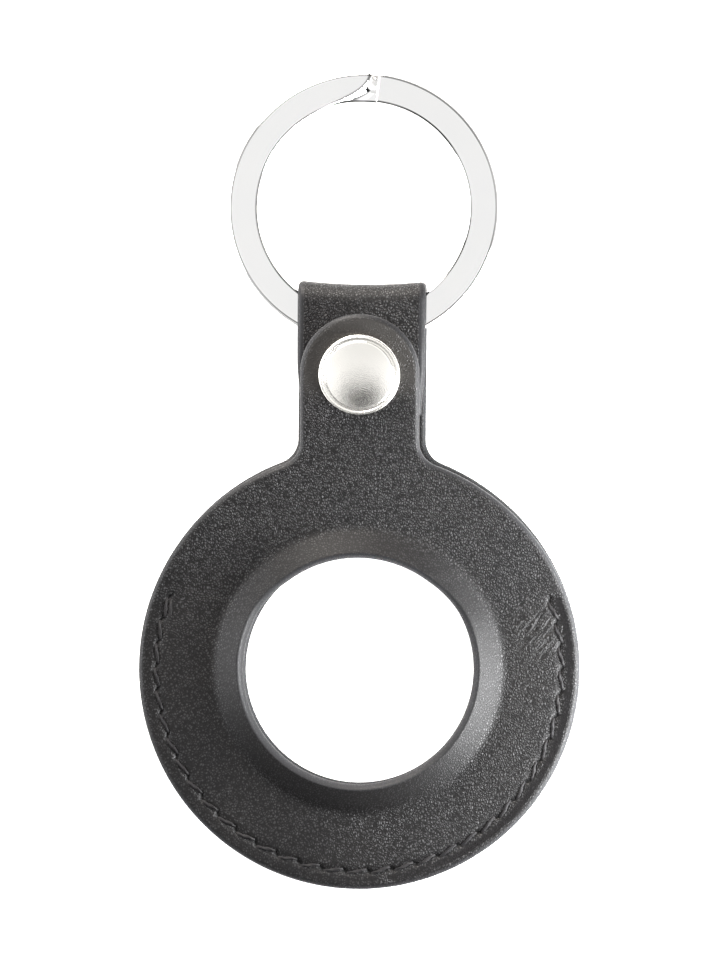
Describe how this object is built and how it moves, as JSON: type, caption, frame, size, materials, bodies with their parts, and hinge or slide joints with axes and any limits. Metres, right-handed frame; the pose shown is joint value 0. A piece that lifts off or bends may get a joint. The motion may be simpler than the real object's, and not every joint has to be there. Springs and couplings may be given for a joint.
{
  "type": "tracker tag holder",
  "caption": "Flat leather key-ring holder for a disc-shaped tracker tag, with a moulded round window, a snap flap, and a split ring in a folded strap.",
  "frame": {"origin": "centre of the round window, on the flat back that the holder lies on", "axes": "+X to the right seen from the front, +Y from the window towards the key ring, +Z out of the front"},
  "size_m": [0.049, 0.0905, 0.0094],
  "materials": {
    "black_leather": "smooth fine-grained leather with painted edges",
    "black_thread": "waxed thread",
    "polished_chrome": "polished plate",
    "satin_nickel": "satin nickel plate",
    "nickel_plate": "bright nickel plate",
    "spring_steel": "drawn spring wire"
  },
  "bodies": {
    "holder": {"back_panel": "black_leather", "front_panel": "black_leather", "strap_loop": "black_leather", "snap_stud": "nickel_plate", "snap_post": "nickel_plate", "needle_thread": "black_thread", "bobbin_thread": "black_thread"},
    "flap": {"front_flap": "black_leather", "snap_cap": "satin_nickel", "snap_socket": "nickel_plate", "socket_spring": "spring_steel"},
    "ring": {"key_ring": "polished_chrome"}
  },
  "joints": [
    {"name": "flap_open", "type": "hinge", "parent": "holder", "child": "flap", "pos_m": [0, 0.0086, 0.0039], "axis": [1, 0, 0], "range_deg": [0, 60], "deforming": ["socket_spring"]},
    {"name": "ring_swing", "type": "hinge", "parent": "holder", "child": "ring", "pos_m": [0, 0.0391, 0.0025], "axis": [1, 0, 0], "range_deg": [-45, 45], "deforming": ["strap_loop"]}
  ]
}
